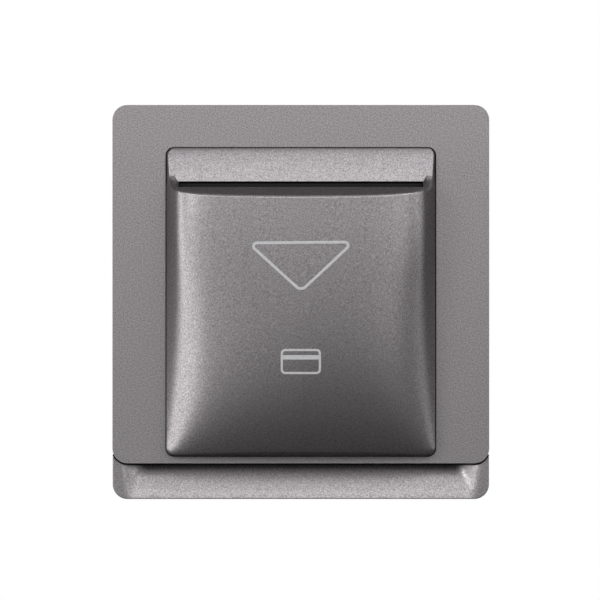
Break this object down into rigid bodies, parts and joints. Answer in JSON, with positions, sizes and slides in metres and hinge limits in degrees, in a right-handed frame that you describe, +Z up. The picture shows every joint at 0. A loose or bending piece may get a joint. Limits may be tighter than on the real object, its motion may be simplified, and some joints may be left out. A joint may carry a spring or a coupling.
{
  "type": "hotel key card switch",
  "caption": "Wall-mounted key card switch: a square plate with a bulging card pocket whose hidden sprung lever works a snap switch when a card is slid in from above.",
  "frame": {"origin": "centre of the frame's rear face, on the wall's surface", "axes": "+Z up, +Y into the wall, +X to the right as seen from the front"},
  "size_m": [0.086, 0.0479, 0.09],
  "materials": {
    "silver_paint": "satin grey paint with fine metallic flakes",
    "black_plastic": "matt moulded",
    "grey_plastic": "matt moulded",
    "ivory_plastic": "fine spark-eroded texture",
    "white_plastic": "satin moulded acetal",
    "zinc_steel": "bright zinc plate",
    "spring_steel": "drawn wire",
    "board_green": "solder resist",
    "plunger_red": "moulded",
    "brass": "stamped",
    "contact_silver": "silver alloy",
    "spring_copper": "rolled copper alloy",
    "block_grey": "matt moulded"
  },
  "bodies": {
    "root": {"base_frame": "silver_paint", "rear_housing": "ivory_plastic", "mechanism_plate": "black_plastic", "housing_screws": "zinc_steel", "lever_pin": "zinc_steel", "return_spring": "spring_steel", "circuit_board": "board_green", "board_screws": "zinc_steel", "switch_case": "black_plastic", "switch_cover": "grey_plastic", "switch_rivets": "zinc_steel", "common_terminal": "brass", "closed_terminal": "brass", "open_terminal": "brass", "fixed_contacts": "contact_silver", "terminal_block": "block_grey", "terminal_cages": "brass", "terminal_screws": "zinc_steel"},
    "front": {"front_plate": "silver_paint", "pocket_cover": "silver_paint", "pocket_base": "black_plastic", "plate_screws": "zinc_steel"},
    "lever": {"card_lever": "white_plastic"},
    "plunger": {"switch_plunger": "plunger_red"},
    "blade": {"contact_blade": "spring_copper", "blade_contact": "contact_silver"}
  },
  "joints": [
    {"name": "front_pull", "type": "slide", "parent": "root", "child": "front", "axis": [0, -1, 0], "range_m": [0, 0.03]},
    {"name": "lever_press", "type": "hinge", "parent": "root", "child": "lever", "pos_m": [0, -0.00589, 0.006], "axis": [1, 0, 0], "range_deg": [0, 8.5], "stiffness_Nm_per_rad": 0.05, "springref_deg": -17.19, "deforming": ["return_spring"]},
    {"name": "plunger_travel", "type": "slide", "parent": "root", "child": "plunger", "axis": [0, 1, 0], "range_m": [0, 0.00106]},
    {"name": "blade_swing", "type": "hinge", "parent": "root", "child": "blade", "pos_m": [0, 0.0046, -0.0106], "axis": [1, 0, 0], "range_deg": [-6.3, 0]}
  ],
  "couplings": [
    {"joint": "plunger_travel", "follows": "lever_press", "m_per_rad": 0.007},
    {"joint": "blade_swing", "follows": "lever_press", "ratio": -0.72917}
  ]
}
